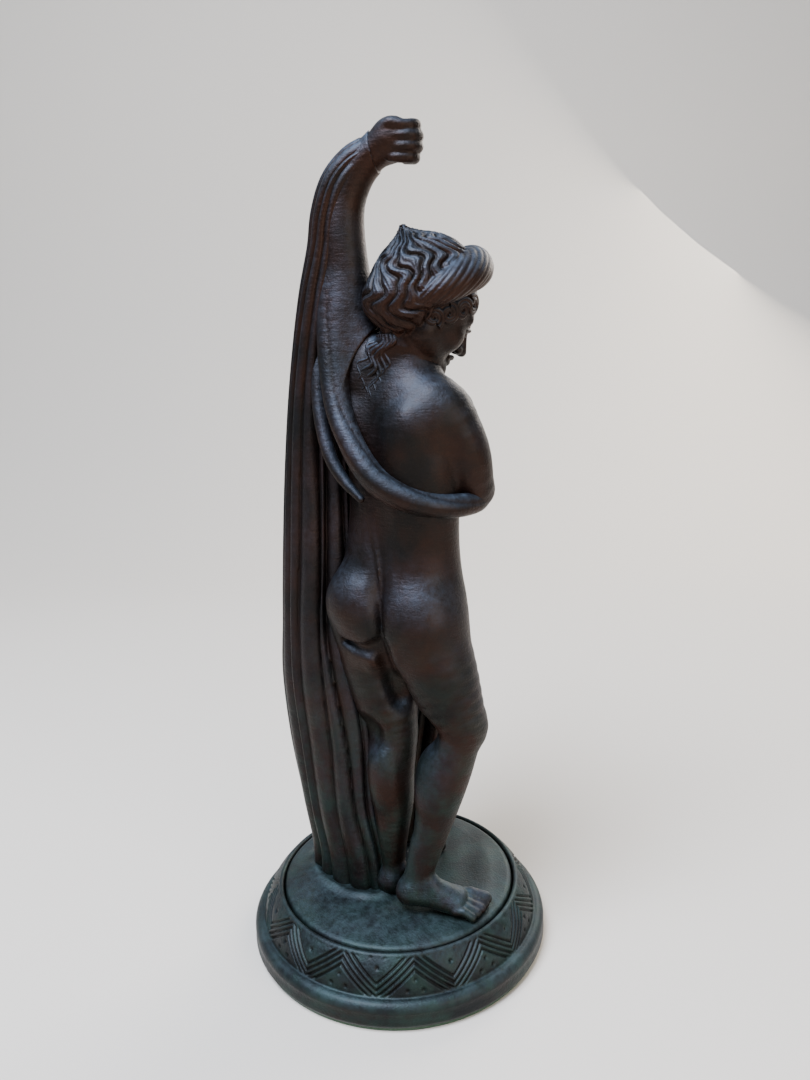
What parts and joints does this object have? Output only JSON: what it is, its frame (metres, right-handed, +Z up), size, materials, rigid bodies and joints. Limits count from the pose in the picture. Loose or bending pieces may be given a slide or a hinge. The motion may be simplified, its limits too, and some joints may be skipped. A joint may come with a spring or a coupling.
{
  "type": "bronze statuette",
  "caption": "Patinated bronze statuette of a draped classical figure lifting the mantle behind one shoulder, on a round moulded plinth with a zigzag band.",
  "frame": {"origin": "centre of the plinth's foot, on the surface it stands on", "axes": "+Z up, -Y the way the figure's body faces, +X towards the figure's left, where the mantle falls"},
  "size_m": [0.06, 0.06, 0.1557],
  "materials": {
    "patinated_bronze": "brown-black chemical patina over cast bronze, satin, blue-grey bloom on upward faces, warm brown where worn",
    "plinth_bronze": "grey-green patina over cast bronze, satin, chased zigzags and punched dots",
    "fixing_brass": "bare turned rod, dull",
    "felt": "green wool felt"
  },
  "bodies": {
    "root": {"plinth": "plinth_bronze", "ground_disc": "plinth_bronze", "body": "patinated_bronze", "head": "patinated_bronze", "right_arm": "patinated_bronze", "left_arm": "patinated_bronze", "mantle_fall": "patinated_bronze", "mantle_swag": "patinated_bronze", "mantle_front": "patinated_bronze", "neck_pin": "fixing_brass", "right_shoulder_pin": "fixing_brass", "left_shoulder_pin": "fixing_brass", "mantle_pins": "fixing_brass", "foot_stud": "fixing_brass", "mantle_stud": "fixing_brass", "stud_washers": "fixing_brass", "stud_nuts": "fixing_brass", "felt_ring": "felt"}
  },
  "joints": []
}
